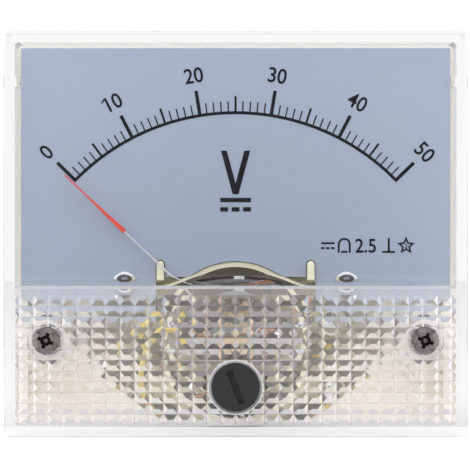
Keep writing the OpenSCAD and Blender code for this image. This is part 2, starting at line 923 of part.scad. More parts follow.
// Slotted disc and shaft with an eccentric pin that reaches the forked lever
module zero_adjuster() {
    shaft_end_y = zero_boss_y + 0.5;
    color([0.1, 0.1, 0.11])
        place(0, zero_z) {
            difference() {
                bar(zero_r, front_y - 0.5, recess_y - zero_run_gap);
                rotate([0, -slot_angle, 0])
                    translate([-slot_w / 2, front_y - past, -slot_len / 2])
                        cube([slot_w, past + 0.3, slot_len]);
            }
            bar(zero_shaft_r, recess_y - bond, shaft_end_y);
            place(0, zero_offset) bar(zero_pin_r, shaft_end_y - bond, zero_arm_y + zero_arm_t + 0.1);
        }
}

module adjuster_clip() {
    color([0.65, 0.65, 0.68])
        place(0, zero_z) ring(2.6, zero_shaft_r, zero_boss_y + zero_run_gap, zero_boss_y + 0.4);
}

module terminal_studs() {
    color([0.8, 0.68, 0.4])
        both(terminal_x, terminal_z) {
            bar(terminal_r, floor_y - bond, terminal_end_y - 0.5);
            taper(terminal_r, terminal_r - 0.5, terminal_end_y - 0.5, terminal_end_y);
            deep(floor_y - inner_head_t, floor_y) circle(r = terminal_flats / sqrt(3), $fn = 6);
        }
}

module terminal_nuts() {
    color([0.8, 0.68, 0.4])
        both(terminal_x, terminal_z) {
            hex_nut(terminal_flats, terminal_r + thread_gap, first_nut_y, first_nut_y + nut_t);
            rotate([0, 15, 0])
                hex_nut(terminal_flats, terminal_r + thread_gap, second_nut_y, second_nut_y + nut_t);
        }
}

module terminal_washers() {
    color([0.78, 0.78, 0.8])
        both(terminal_x, terminal_z) {
            ring(washer_r, terminal_r + 0.15, stack_y, first_nut_y);
            ring(washer_r, terminal_r + 0.15, second_washer_y, spring_washer_y);
        }
}

// Split washers under the outer nuts
module spring_washers() {
    color([0.5, 0.5, 0.52])
        both(terminal_x, terminal_z)
            difference() {
                ring(washer_r - 0.9, terminal_r + 0.15, spring_washer_y, second_nut_y);
                translate([-0.25, spring_washer_y - past, 0]) cube([0.5, 3, 5]);
            }
}

// Ring tongues with an eye for a soldered wire
module solder_lugs() {
    color([0.85, 0.83, 0.78])
        both(terminal_x, terminal_z)
            difference() {
                union() {
                    bar(lug_r, lug_y, second_washer_y);
                    translate([-lug_half_w, lug_y, -lug_reach])
                        cube([2 * lug_half_w, washer_t, lug_reach - terminal_r]);
                    place(0, -lug_reach) bar(lug_half_w, lug_y, second_washer_y);
                }
                bar(terminal_r + 0.15, lug_y - past, second_washer_y + past);
                place(0, 0.4 - lug_reach) bar(0.9, lug_y - past, second_washer_y + past);
            }
}

// Resistor behind the dial, with a lead to the right-hand terminal
module series_resistor() {
    body_z = 14;
    body_y = wiring_y;
    half_len = 4.5;
    lead_r = 0.3;
    route = smooth_route([[half_len - 0.5, body_y, body_z], [7.2, body_y, body_z],
        [9.4, body_y + 1.5, 12.4], [terminal_x - 1.2, floor_y - 1.6, terminal_z + 3.9]], 4);
    color([0.55, 0.72, 0.8]) {
        translate([-half_len, body_y, body_z])
            rotate([0, 90, 0])
                cylinder(r = 1.6, h = 2 * half_len);
        wire(route, lead_r);
        translate([-half_len - 1.5, body_y, body_z])
            rotate([0, 90, 0])
                cylinder(r = lead_r, h = 1.5 + bond);
    }
}

// Insulated wire from the front bridge, round the movement and back to the resistor
module front_lead() {
    route = smooth_route([[-7.2, -5.9, -10.6], [-8.4, -6.5, -8.9], [-10.7, -6.9, -9.3],
        [-12.8, -4.6, -11.9], [-13.3, -2.2, -14.8], [-12.5, -0.9, -17.3], [-10.3, 1.6, -19],
        [-7.6, 7, -20.4], [-6.8, 14, -20.9], [-7, 17.8, -19.6], [-8, wiring_y + 0.3, -14],
        [-9.4, wiring_y + 0.3, -4], [-9.4, wiring_y + 0.1, 6], [-8.2, wiring_y, 12.6],
        [-6.5, wiring_y, 14]], 5);
    color([0.95, 0.78, 0.15]) wire(route, 0.45);
}

// Insulated wire from the right-hand movement screw back to the left-hand terminal
module rear_lead() {
    route = smooth_route([[13.4, 1.2, -17.2], [12.6, -0.3, -18], [10.8, 1.4, -19], [8, 7, -20.2],
        [6.8, 14, -20.9], [6.8, 17.8, -19.6], [4, wiring_y + 0.7, -14],
        [-2, wiring_y + 2.1, -4.6], [-9.7, wiring_y + 2.7, 2.6]], 5);
    color([0.95, 0.78, 0.15]) wire(route, 0.45);
}

rear_case();
cover_screws();
mounting_studs();
dial_plate();
scale_print();
dial_screws();
movement_frame();
yoke_ring();
magnet_core();
core_spacers();
movement_screws();
bridge_posts();
front_bridge();
bridge_screws();
front_jewel_screw();
front_lock_nut();
rear_jewel_screw();
rear_lock_nut();
pointer_arm();
pointer_blade();
balance_arms();
balance_weights();
coil_former();
coil_winding();
front_pivot();
rear_pivot();
front_collet();
rear_collet();
front_hairspring();
rear_hairspring();
zero_arm();
zero_adjuster();
adjuster_clip();
terminal_studs();
terminal_nuts();
terminal_washers();
spring_washers();
solder_lugs();
series_resistor();
front_lead();
rear_lead();
front_cover();
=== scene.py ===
"""Looks of the analog panel meter: finishes, print on the dial, studio and camera."""

import json
import math

import bmesh
import bpy
from mathutils import Matrix, Vector


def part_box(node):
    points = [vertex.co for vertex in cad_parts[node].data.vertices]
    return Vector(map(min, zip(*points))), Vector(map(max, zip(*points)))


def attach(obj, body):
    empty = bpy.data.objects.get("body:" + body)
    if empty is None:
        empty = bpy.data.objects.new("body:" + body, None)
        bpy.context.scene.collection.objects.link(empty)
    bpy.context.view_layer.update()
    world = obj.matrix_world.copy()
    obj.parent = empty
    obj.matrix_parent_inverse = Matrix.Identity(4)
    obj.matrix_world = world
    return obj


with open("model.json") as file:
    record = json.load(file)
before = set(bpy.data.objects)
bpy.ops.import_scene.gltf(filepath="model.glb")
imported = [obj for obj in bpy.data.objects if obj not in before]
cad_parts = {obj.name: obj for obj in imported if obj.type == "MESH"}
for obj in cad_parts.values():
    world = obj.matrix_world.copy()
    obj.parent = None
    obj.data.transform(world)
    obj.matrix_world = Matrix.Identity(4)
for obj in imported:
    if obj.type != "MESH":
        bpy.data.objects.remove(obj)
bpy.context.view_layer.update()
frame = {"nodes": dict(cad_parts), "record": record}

MM = 0.001

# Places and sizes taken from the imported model
face_low, face_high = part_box("front_cover")
yoke_low, yoke_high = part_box("yoke_ring")
zero_low, zero_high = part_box("zero_adjuster")
screws_low, screws_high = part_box("cover_screws")
FACE_CENTRE = (face_low + face_high) / 2
PIVOT = Vector(((yoke_low.x + yoke_high.x) / 2, 0, (yoke_low.z + yoke_high.z) / 2))
PRINT_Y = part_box("scale_print")[0].y
ZERO_R = 3.35 * MM
ZERO_AXIS = ((zero_low.x + zero_high.x) / 2, 0, zero_high.z - ZERO_R)
SCREW_HEAD_R = 1.82 * MM
SCREW_X = screws_high.x - SCREW_HEAD_R
SCREW_Z = (screws_low.z + screws_high.z) / 2

# The cover's ribbed panel: its inner face, top step, grid of ribs and screw pockets
PANEL_Y = face_low.y + 2.5 * MM
STEP_Z = face_high.z - 35.55 * MM
GRID_TOP = face_high.z - 36.4 * MM
GRID_LOW = face_low.z + 1.6 * MM
CELL_W = 2 * MM
CELL_H = 1.5 * MM
RIB_H = 0.5 * MM
POCKET_R = 2.95 * MM

# Bands of the cover that carry painted light, as ranges of depth (y) and height (z):
# the ribs, the strip above them, the step at the panel's top and the sill along the bottom
RIB_DEPTHS = (PANEL_Y + 0.01 * MM, PANEL_Y + RIB_H + 0.02 * MM)
RIB_HEIGHTS = (GRID_LOW, GRID_TOP)
STRIP_DEPTHS = (PANEL_Y - 0.02 * MM, PANEL_Y + 0.02 * MM)
STRIP_HEIGHTS = (GRID_TOP, STEP_Z)
STEP_DEPTHS = (PANEL_Y - 0.5 * MM, PANEL_Y + 0.01 * MM)
STEP_HEIGHTS = (STEP_Z, STEP_Z + 0.42 * MM)
SILL_DEPTHS = (face_low.y - 0.1 * MM, face_low.y + 0.45 * MM)
SILL_HEIGHTS = (face_low.z - 0.1 * MM, face_low.z + 1.5 * MM)

# Ring of the adjuster's recess, which carries a painted highlight
RECESS_HIGHLIGHT_DEPTHS = (face_low.y - 0.1 * MM, face_low.y + 1.1 * MM)
RECESS_HIGHLIGHT_RADII = (3.38 * MM, 3.8 * MM)

# Share of the matt haze, painted light on the ribs, and of the painted line along their crests,
# from near the adjuster to far from it, with the distances between which each share changes
PAINTED_HAZE_SHARES = (0.1, 0.22)
PAINTED_HAZE_REACH = (12 * MM, 22 * MM)
PAINTED_CREST_SHARES = (0.35, 0.1)
PAINTED_CREST_REACH = (14 * MM, 24 * MM)
CREST_HALF = 0.05 * MM
# Painted light: share of matt haze on the strip above the ribs
PAINTED_STRIP_SHARE = 0.22
# Painted light: share of the milky sill, which lightens the shade along the bottom edge
SILL_LIGHT_SHARE = 0.75
# Share of light that the painted highlight of the step lets through from behind
STEP_HIGHLIGHT_THROUGH = 0.5

# Painted shade in the cross recess of a cover screw, a dark ring which leaves its middle bright
RECESS_SHADE_RADII = (0.32 * MM, 0.66 * SCREW_HEAD_R)
RECESS_SHADE_DEPTHS = (screws_low.y + 0.1 * MM, screws_low.y + 1.2 * MM)

# Distances from the pivot between which the dial's colour gets lighter: painted shade, darker
# towards the pivot
PAINT_SHADE_REACH = (10 * MM, 45 * MM)

# Numbers and signs on the dial; the scale's angle is counted from upright to one end
SCALE_HALF = math.radians(45.7)
SCALE_NUMBERS = ("0", "10", "20", "30", "40", "50")
NUMBER_R = 36.95 * MM
NUMBER_H = 2.15 * MM
CLASS_H = 1.98 * MM
STAR_NUMBER_H = 0.62 * MM
FONT_WIDTH = 0.92
STROKE_GROWTH = 0.012
PRINT_T = 0.03 * MM
ARCH_STEPS = 24
STAR_POINTS = 5

# Slanted stroke of the number 10, in millimetres, with its middle off the number's middle
FLAG_LENGTH = 0.72
FLAG_STROKE = 0.2
FLAG_LEAN = math.radians(-31)
FLAG_SEAT = (-1.3, 0, 0.79)

# Colour and gloss that two finishes share
CHROME_COLOUR = (0.84, 0.84, 0.85)
CHROME_ROUGH = (0.06, 0.1)

# White studio: the room's light, and its far front as polished faces see it, which is dark up
# to the first direction and white from the second one on
ROOM_LIGHT = 0.8
FRONT_DARK = 0.15
FRONT_EDGE = (-0.97, -0.75)
FLOOR_SIZE = 1.5
FLOOR_GLOW_SEEN = 0.45
FLOOR_GLOW_THROUGH = 0.2

# Camera: its distance from the face, the width it sees there and its aim off the face's middle
CAMERA_DISTANCE = 450 * MM
SEEN_WIDTH = 64.77 * MM
SENSOR_WIDTH = 36
AIM_X = -0.08 * MM
AIM_Z = -0.09 * MM


def new_material(name):
    """Node material with a Principled shader; returns the material, its tree and the shader."""
    material = bpy.data.materials.new(name)
    material.use_nodes = True
    tree = material.node_tree
    shader = tree.nodes["Principled BSDF"]
    return material, tree, shader


def object_coordinates(tree, scale=(1, 1, 1), centre=(0, 0, 0)):
    """Object coordinates, moved to a centre and scaled per axis."""
    source = tree.nodes.new("ShaderNodeTexCoord")
    mapping = tree.nodes.new("ShaderNodeMapping")
    mapping.inputs["Scale"].default_value = scale
    mapping.inputs["Location"].default_value = [-c * s for c, s in zip(centre, scale)]
    tree.links.new(source.outputs["Object"], mapping.inputs["Vector"])
    return mapping.outputs["Vector"]


def axes(tree, vector):
    """The x, y and z values of a vector."""
    split = tree.nodes.new("ShaderNodeSeparateXYZ")
    tree.links.new(vector, split.inputs["Vector"])
    return [split.outputs[axis] for axis in "XYZ"]


def length(tree, vector):
    node = tree.nodes.new("ShaderNodeVectorMath")
    node.operation = "LENGTH"
    tree.links.new(vector, node.inputs[0])
    return node.outputs["Value"]


def distance(tree, centre):
    """Distance from an axis along y through the centre."""
    return length(tree, object_coordinates(tree, (1, 0, 1), centre))


def noise(tree, vector, scale, detail=3):
    """Noise value over a vector; scale is in patches per metre."""
    node = tree.nodes.new("ShaderNodeTexNoise")
    node.inputs["Scale"].default_value = scale
    node.inputs["Detail"].default_value = detail
    tree.links.new(vector, node.inputs["Vector"])
    return node.outputs["Fac"]


def ramp(tree, value, stops):
    """Colour ramp over a value; stops are (position, colour)."""
    node = tree.nodes.new("ShaderNodeValToRGB")
    elements = node.color_ramp.elements
    while len(elements) < len(stops):
        elements.new(0.5)
    for element, (position, colour) in zip(elements, stops):
        element.position = position
        element.color = (*colour, 1)
    tree.links.new(value, node.inputs["Fac"])
    return node.outputs["Color"]


def value_range(tree, value, low, high, start=0.3, end=0.7):
    """Maps a value from start..end onto low..high."""
    node = tree.nodes.new("ShaderNodeMapRange")
    node.inputs["From Min"].default_value = start
    node.inputs["From Max"].default_value = end
    node.inputs["To Min"].default_value = low
    node.inputs["To Max"].default_value = high
    tree.links.new(value, node.inputs["Value"])
    return node.outputs["Result"]


def calculate(tree, operation, *values):
    """Result of a Math node; each value is a number or another node's output."""
    node = tree.nodes.new("ShaderNodeMath")
    node.operation = operation
    for value, socket in zip(values, node.inputs):
        if isinstance(value, (int, float)):
            socket.default_value = value
        else:
            tree.links.new(value, socket)
    return node.outputs["Value"]


def product(tree, first, second):
    """Where both masks apply, or a mask scaled down to a share."""
    return calculate(tree, "MULTIPLY", first, second)


def larger(tree, first, second):
    """Where either mask applies."""
    return calculate(tree, "MAXIMUM", first, second)


def between(tree, value, low, high):
    """1 where a value lies from low to high, else 0."""
    return calculate(tree, "COMPARE", value, (low + high) / 2, (high - low) / 2)


def off_pair(tree, x, z):
    """Distance from the nearer of the two axes along y at x and at -x."""
    left = distance(tree, (-x, 0, z))
    right = distance(tree, (x, 0, z))
    return calculate(tree, "MINIMUM", left, right)


def crest(tree, value, start, pitch):
    """1 close to each rib's crest, where crests lie a pitch apart from the start."""
    shifted = calculate(tree, "SUBTRACT", value, start)
    folded = calculate(tree, "PINGPONG", shifted, pitch / 2)
    return between(tree, folded, -CREST_HALF, CREST_HALF)


def over(tree, base, mask, top):
    """Lays a top shader over the base by a mask, which may be a number."""
    mix = tree.nodes.new("ShaderNodeMixShader")
    if isinstance(mask, (int, float)):
        mix.inputs["Fac"].default_value = mask
    else:
        tree.links.new(mask, mix.inputs["Fac"])
    tree.links.new(base, mix.inputs[1])
    tree.links.new(top, mix.inputs[2])
    return mix.outputs["Shader"]


def plain_shader(tree, kind, colour):
    """Shader of one of the simple kinds in one colour."""
    node = tree.nodes.new("ShaderNodeBsdf" + kind)
    node.inputs["Color"].default_value = (*colour, 1)
    return node.outputs["BSDF"]


def matt(tree, colour):
    return plain_shader(tree, "Diffuse", colour)


def frosted(tree, colour, through):
    """Matt shader that also lets a share of the light behind it through."""
    return over(tree, matt(tree, colour), through, plain_shader(tree, "Translucent", colour))


def bump(tree, shader, height, depth):
    """Raises the surface by a height value times depth, in metres."""
    node = tree.nodes.new("ShaderNodeBump")
    node.inputs["Strength"].default_value = 1
    node.inputs["Distance"].default_value = depth
    tree.links.new(height, node.inputs["Height"])
    tree.links.new(node.outputs["Normal"], shader.inputs["Normal"])


def paint_noise(tree, shader, value, colour, darkest, brightest):
    """Colours a shader by a noise value, from the darkest to the brightest share of the colour."""
    low, high = (tuple(min(1, c * share) for c in colour) for share in (darkest, brightest))
    tree.links.new(ramp(tree, value, [(0.3, low), (0.7, high)]), shader.inputs["Base Color"])


def varied_surface(name, colour, spread, patches, rough, grain, depth, metallic=0.0):
    """Surface whose colour, gloss and fine grain all vary with noise.

    spread is the share by which the colour varies, patches and grain are in cells per metre,
    rough is the lowest and highest roughness, and depth is the grain's height.
    """
    material, tree, shader = new_material(name)
    place = object_coordinates(tree)
    paint_noise(tree, shader, noise(tree, place, patches), colour, 1 - spread, 1 + spread)
    fine = noise(tree, place, grain, detail=4)
    tree.links.new(value_range(tree, fine, *rough), shader.inputs["Roughness"])
    bump(tree, shader, fine, depth)
    shader.inputs["Metallic"].default_value = metallic
    return material


def moulded(name, colour, rough=(0.35, 0.5), grain=1500, depth=0.01 * MM):
    """Moulded plastic with a faint grain."""
    return varied_surface(name, colour, 0.03, patches=60, rough=rough, grain=grain, depth=depth)


def soft_moulding(name, colour, depth):
    """Pale plastic that lets a little light through its thin walls."""
    material = moulded(name, colour)
    shader = material.node_tree.nodes["Principled BSDF"]
    shader.inputs["Subsurface Weight"].default_value = 0.5
    shader.inputs["Subsurface Radius"].default_value = (1, 0.85, 0.6)
    shader.inputs["Subsurface Scale"].default_value = depth
    return material


def plated(name, colour, rough=(0.18, 0.32)):
    """Smooth metal, plated or bare."""
    return varied_surface(
        name, colour, 0.05, patches=220, rough=rough, grain=1200, depth=0.0002 * MM, metallic=1
    )


def turned(name, colour, centre):
    """Lathe-turned metal with fine rings about an axis along y through the centre."""
    material, tree, shader = new_material(name)
    place = object_coordinates(tree, centre=centre)
    rings = tree.nodes.new("ShaderNodeTexWave")
    rings.wave_type = "RINGS"
    rings.rings_direction = "Y"
    rings.inputs["Scale"].default_value = 1800
    rings.inputs["Distortion"].default_value = 1.5
    tree.links.new(place, rings.inputs["Vector"])
    ring = rings.outputs["Fac"]
    paint_noise(tree, shader, noise(tree, place, 300), colour, 0.92, 1.06)
    tree.links.new(value_range(tree, ring, 0.2, 0.35, 0, 1), shader.inputs["Roughness"])
    bump(tree, shader, ring, 0.003 * MM)
    shader.inputs["Metallic"].default_value = 1
    return material


def polish(tree, shader, place):
    """Clear plastic with a faint unevenness of colour, gloss and surface."""
    shader.inputs["Transmission Weight"].default_value = 1
    shader.inputs["IOR"].default_value = 1.49
    cloud = noise(tree, place, 40, detail=1)
    tree.links.new(
        ramp(tree, cloud, [(0.3, (0.985, 0.988, 1.0)), (0.7, (0.995, 0.996, 1.0))]),
        shader.inputs["Base Color"],
    )
    tree.links.new(value_range(tree, cloud, 0.0, 0.015), shader.inputs["Roughness"])
    bump(tree, shader, noise(tree, place, 120, detail=1), 0.002 * MM)


def cover_masks(tree, place):
    """Masks of the cover's ribs, strip, step, recess and sill, and of the ribs' crests, where the
    cover's painted light lies.
    """
    x, y, z = axes(tree, place)

    def band(depths, heights):
        return product(tree, between(tree, y, *depths), between(tree, z, *heights))

    ribs = band(RIB_DEPTHS, RIB_HEIGHTS)
    strip = band(STRIP_DEPTHS, STRIP_HEIGHTS)
    upright = crest(tree, x, FACE_CENTRE.x, CELL_W)
    crests = larger(tree, upright, crest(tree, z, GRID_LOW, CELL_H))
    crests = product(tree, crests, between(tree, off_pair(tree, SCREW_X, SCREW_Z), POCKET_R, 1))
    return {
        "ribs": ribs,
        "strip": strip,
        "crests": larger(tree, product(tree, ribs, crests), product(tree, strip, upright)),
        "step": band(STEP_DEPTHS, STEP_HEIGHTS),
        "recess": product(
            tree,
            between(tree, distance(tree, ZERO_AXIS), *RECESS_HIGHLIGHT_RADII),
            between(tree, y, *RECESS_HIGHLIGHT_DEPTHS),
        ),
        "sill": band(SILL_DEPTHS, SILL_HEIGHTS),
    }


def clear_acrylic():
    """Clear polished plastic with painted light: matt haze on the ribs, painted lines on their
    crests, painted highlights on the step and the recess ring, and a milky sill that paints light
    over the bottom edge's shade.
    """
    material, tree, shader = new_material("clear_acrylic")
    place = object_coordinates(tree)
    polish(tree, shader, place)
    masks = cover_masks(tree, place)
    off_zero = distance(tree, ZERO_AXIS)
    painted_haze = product(
        tree, masks["ribs"], value_range(tree, off_zero, *PAINTED_HAZE_SHARES, *PAINTED_HAZE_REACH)
    )
    painted_haze = larger(tree, painted_haze, product(tree, masks["strip"], PAINTED_STRIP_SHARE))
    crests = product(
        tree, masks["crests"], value_range(tree, off_zero, *PAINTED_CREST_SHARES, *PAINTED_CREST_REACH)
    )
    sill = product(tree, masks["sill"], SILL_LIGHT_SHARE)
    # Painted light: a warm matt haze over the ribs, standing in for studio light that the rib
    # facets reflect and bend
    coat = over(tree, shader.outputs["BSDF"], painted_haze, matt(tree, (0.98, 0.92, 0.89)))
    # Painted lines along the rib crests, standing in for light that the rounded crests bend
    coat = over(tree, coat, crests, matt(tree, (0.45, 0.45, 0.5)))
    # Painted light: a milky band that lightens the shade of the bottom edge
    coat = over(tree, coat, sill, matt(tree, (0.97, 0.965, 0.98)))
    # Painted highlight: a white ring round the adjuster's recess
    coat = over(tree, coat, masks["recess"], matt(tree, (0.98, 0.98, 1.0)))
    # Painted highlight: a frosted white line along the step
    coat = over(tree, coat, masks["step"], frosted(tree, (0.99, 0.99, 1.0), STEP_HIGHLIGHT_THROUGH))

    rays = tree.nodes.new("ShaderNodeLightPath")
    see_through = plain_shader(tree, "Transparent", (0.96, 0.965, 0.98))
    coat = over(tree, coat, rays.outputs["Is Shadow Ray"], see_through)
    tree.links.new(coat, tree.nodes["Material Output"].inputs["Surface"])
    return material


def dial_paint():
    """Matt pale blue-grey paint with painted shade that makes it a little darker towards the
    pivot, and a fine sprayed grain.
    """
    material, tree, shader = new_material("dial_paint")
    place = object_coordinates(tree, centre=PIVOT)
    # Painted shade: the colour grows darker towards the pivot
    shade_fade = value_range(tree, length(tree, place), 0, 1, *PAINT_SHADE_REACH)
    tree.links.new(
        ramp(tree, shade_fade, [(0, (0.335, 0.393, 0.5)), (1, (0.412, 0.472, 0.592))]),
        shader.inputs["Base Color"],
    )
    fine = noise(tree, place, 6000)
    tree.links.new(value_range(tree, fine, 0.55, 0.7), shader.inputs["Roughness"])
    bump(tree, shader, fine, 0.003 * MM)
    return material


def printed_ink():
    """Matt near-black ink with slightly uneven cover."""
    material = varied_surface(
        "black_ink", (0.008, 0.008, 0.012), 0.3,
        patches=900, rough=(0.6, 0.75), grain=4000, depth=0.002 * MM,
    )
    shader = material.node_tree.nodes["Principled BSDF"]
    shader.inputs["Specular IOR Level"].default_value = 0.1
    return material


def wound_wire():
    """Enamelled copper wire laid in fine turns across the coil."""
    material, tree, shader = new_material("wound_wire")
    lines = tree.nodes.new("ShaderNodeTexWave")
    lines.bands_direction = "Z"
    lines.inputs["Scale"].default_value = 900
    lines.inputs["Distortion"].default_value = 0.6
    tree.links.new(object_coordinates(tree, centre=PIVOT), lines.inputs["Vector"])
    turns = lines.outputs["Fac"]
    tree.links.new(
        ramp(tree, turns, [(0.1, (0.25, 0.1, 0.05)), (0.7, (0.75, 0.36, 0.2))]),
        shader.inputs["Base Color"],
    )
    shader.inputs["Metallic"].default_value = 0.8
    shader.inputs["Roughness"].default_value = 0.3
    bump(tree, shader, turns, 0.02 * MM)
    return material


def dark_nickel():
    """Dark nickel of the cover screws, with painted shade in their cross recesses."""
    material = plated("dark_nickel", (0.33, 0.295, 0.285), (0.2, 0.35))
    tree = material.node_tree
    colour_input = tree.nodes["Principled BSDF"].inputs["Base Color"]
    depth = axes(tree, object_coordinates(tree))[1]
    recess_shade = product(
        tree,
        between(tree, off_pair(tree, SCREW_X, SCREW_Z), *RECESS_SHADE_RADII),
        between(tree, depth, *RECESS_SHADE_DEPTHS),
    )
    # Painted shade: a near-black ring in each cross recess
    mix = tree.nodes.new("ShaderNodeMix")
    mix.data_type = "RGBA"
    factor, unshaded, shaded, mixed = mix.inputs[0], mix.inputs[6], mix.inputs[7], mix.outputs[2]
    tree.links.new(recess_shade, factor)
    tree.links.new(colour_input.links[0].from_socket, unshaded)
    shaded.default_value = (0.02, 0.015, 0.012, 1)
    tree.links.new(mixed, colour_input)
    return material


def chrome_painted_reflection():
    """Chrome of the dial screws with a painted reflection: a dark middle inside a bright rim,
    coloured by distance from each screw's axis.
    """
    material = plated("chrome_painted_reflection", CHROME_COLOUR, CHROME_ROUGH)
    tree = material.node_tree
    low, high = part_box("dial_screws")
    head_r = (high.z - low.z) / 2
    off_axis = off_pair(tree, high.x - head_r, (low.z + high.z) / 2)
    # Painted reflection: grey centre, dark band and bright rim, by distance from the screw's axis
    painted_reflection_colours = [
        (0.2, (0.45, 0.44, 0.44)),
        (0.45, (0.06, 0.05, 0.05)),
        (0.66, (0.1, 0.09, 0.09)),
        (0.8, (0.9, 0.9, 0.92)),
    ]
    tree.links.new(
        ramp(tree, value_range(tree, off_axis, 0, 1, 0, head_r), painted_reflection_colours),
        tree.nodes["Principled BSDF"].inputs["Base Color"],
    )
    return material


def make_finishes():
    """One finish for each material slot of the record."""
    return {
        "clear_plastic": clear_acrylic(),
        "cream_plastic": soft_moulding("cream_moulding", (0.92, 0.865, 0.775), 3 * MM),
        "dark_nickel": dark_nickel(),
        "zinc_steel": plated("zinc_plate", (0.36, 0.36, 0.39)),
        "dial_paint": dial_paint(),
        "black_ink": printed_ink(),
        "bright_nickel": plated("bright_nickel", CHROME_COLOUR, CHROME_ROUGH),
        "yellowed_plastic": soft_moulding("yellowed_moulding", (0.95, 0.87, 0.56), 6 * MM),
        "soft_iron": plated("soft_iron", (0.19, 0.17, 0.145), (0.4, 0.55)),
        "magnet_alloy": plated("magnet_alloy", (0.3, 0.3, 0.32), (0.3, 0.45)),
        "brass": turned("turned_brass", (0.58, 0.44, 0.27), PIVOT),
        "tinned_brass": plated("tinned_brass", (0.68, 0.66, 0.58)),
        "aluminium": plated("satin_aluminium", (0.75, 0.75, 0.76), (0.25, 0.4)),
        "red_paint": varied_surface(
            "red_paint", (0.80, 0.065, 0.03), 0.08,
            patches=600, rough=(0.35, 0.5), grain=5000, depth=0.001 * MM,
        ),
        "copper_wire": wound_wire(),
        "pivot_steel": plated("pivot_steel", (0.5, 0.5, 0.52), (0.08, 0.15)),
        "spring_bronze": plated("spring_bronze", (0.6, 0.36, 0.15), (0.15, 0.25)),
        "black_plastic": moulded(
            "black_moulding", (0.018, 0.018, 0.02), (0.38, 0.5), grain=2500, depth=0.004 * MM
        ),
        "resistor_coat": moulded("resistor_coat", (0.25, 0.45, 0.6), (0.2, 0.3)),
        "yellow_insulation": moulded("yellow_insulation", (0.90, 0.66, 0.12), (0.3, 0.4)),
    }


def dress_nodes(finishes):
    """Gives every node the finish of its material slot, or a finish of its own."""
    slots = {part["node"]: part["material_slot"] for part in frame["record"]["subparts"]}
    special = {
        "dial_screws": chrome_painted_reflection(),
        "front_bridge": plated("dull_aluminium", (0.46, 0.44, 0.45), (0.35, 0.5)),
    }
    for node, piece in frame["nodes"].items():
        for slot in piece.material_slots:
            slot.material = special.get(node, finishes[slots[node]])


def mesh_object(name, bm, material):
    """Makes an object of a bmesh whose points are already in place."""
    mesh = bpy.data.meshes.new(name)
    bm.to_mesh(mesh)
    bm.free()
    mesh.materials.append(material)
    made = bpy.data.objects.new(name, mesh)
    bpy.context.scene.collection.objects.link(made)
    return made


def mesh_piece(name, bm, body, material):
    """Makes a finished piece that rides on a body."""
    bmesh.ops.recalc_face_normals(bm, faces=bm.faces)
    piece = mesh_object(name, bm, material)
    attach(piece, body)


def text_bmesh(words):
    """Bmesh of flat words in the built-in font, centred on the line they stand on."""
    curve = bpy.data.curves.new(words, "FONT")
    curve.body = words
    curve.align_x = "CENTER"
    curve.extrude = PRINT_T / 2
    curve.offset = STROKE_GROWTH
    text = bpy.data.objects.new(words, curve)
    bpy.context.scene.collection.objects.link(text)
    bpy.context.view_layer.update()
    graph = bpy.context.evaluated_depsgraph_get()
    mesh = bpy.data.meshes.new_from_object(text.evaluated_get(graph))
    bpy.data.objects.remove(text)
    bpy.data.curves.remove(curve)
    bm = bmesh.new()
    bm.from_mesh(mesh)
    bpy.data.meshes.remove(mesh)
    return bm


def dial_text(name, words, height, x, z, turn, material):
    """Flat printed words on the dial, centred at x and z and turned clockwise."""
    bm = text_bmesh(words)
    low = Vector([min(v.co[i] for v in bm.verts) for i in range(3)])
    high = Vector([max(v.co[i] for v in bm.verts) for i in range(3)])
    size = height / (high.y - low.y)
    bmesh.ops.translate(bm, verts=bm.verts, vec=-(low + high) / 2)
    bmesh.ops.scale(bm, verts=bm.verts, vec=(size * FONT_WIDTH, size, 1))
    stand = Matrix.Rotation(math.radians(90), 4, "X")
    spin = Matrix.Rotation(turn, 4, "Y")
    move = Matrix.Translation((x, PRINT_Y + PRINT_T / 2, z))
    bmesh.ops.transform(bm, matrix=move @ spin @ stand, verts=bm.verts)
    mesh_piece(name, bm, "case", material)


def scale_numbers(material):
    """Numbers round the outside of the scale, upright along their own radius."""
    gaps = len(SCALE_NUMBERS) - 1
    for i, words in enumerate(SCALE_NUMBERS):
        turn = -SCALE_HALF + i * SCALE_HALF * 2 / gaps
        x = PIVOT.x + NUMBER_R * math.sin(turn)
        z = PIVOT.z + NUMBER_R * math.cos(turn)
        dial_text("scale_number_" + words, words, NUMBER_H, x, z, turn, material)
        if words == "10":
            number_flag(x, z, turn, material)


def print_bar(bm, across, up):
    """Adds a printed bar over a span across and a span up, in millimetres."""
    left, right = across
    low, high = up
    made = bmesh.ops.create_cube(bm, size=1)["verts"]
    bmesh.ops.scale(bm, verts=made, vec=(right - left, PRINT_T / MM, high - low))
    bmesh.ops.translate(bm, verts=made, vec=((left + right) / 2, 0, (low + high) / 2))


def print_arch(bm, x, z, outer, inner):
    """Adds a printed half ring, open downwards, in millimetres."""
    half = PRINT_T / MM / 2
    corners = [(outer, -half), (outer, half), (inner, half), (inner, -half)]
    face = bm.faces.new([bm.verts.new((x + r, y, z)) for r, y in corners])
    section = [face, *face.edges, *face.verts]
    bmesh.ops.spin(
        bm, geom=section, cent=(x, 0, z), axis=(0, 1, 0), angle=-math.pi, steps=ARCH_STEPS
    )


def print_star(bm, x, z, outer, inner, stroke):
    """Adds a printed star outline, in millimetres."""
    corners = []
    for i, radius in enumerate((outer, inner) * STAR_POINTS):
        turn = i * math.pi / STAR_POINTS
        corners.append((x + radius * math.sin(turn), 0, z + radius * math.cos(turn)))
    face = bm.faces.new([bm.verts.new(corner) for corner in corners])
    bm.normal_update()
    inset = bmesh.ops.inset_individual(bm, faces=[face], thickness=stroke, use_even_offset=True)
    bmesh.ops.delete(bm, geom=[face], context="FACES_ONLY")
    bmesh.ops.solidify(bm, geom=inset["faces"], thickness=PRINT_T / MM)


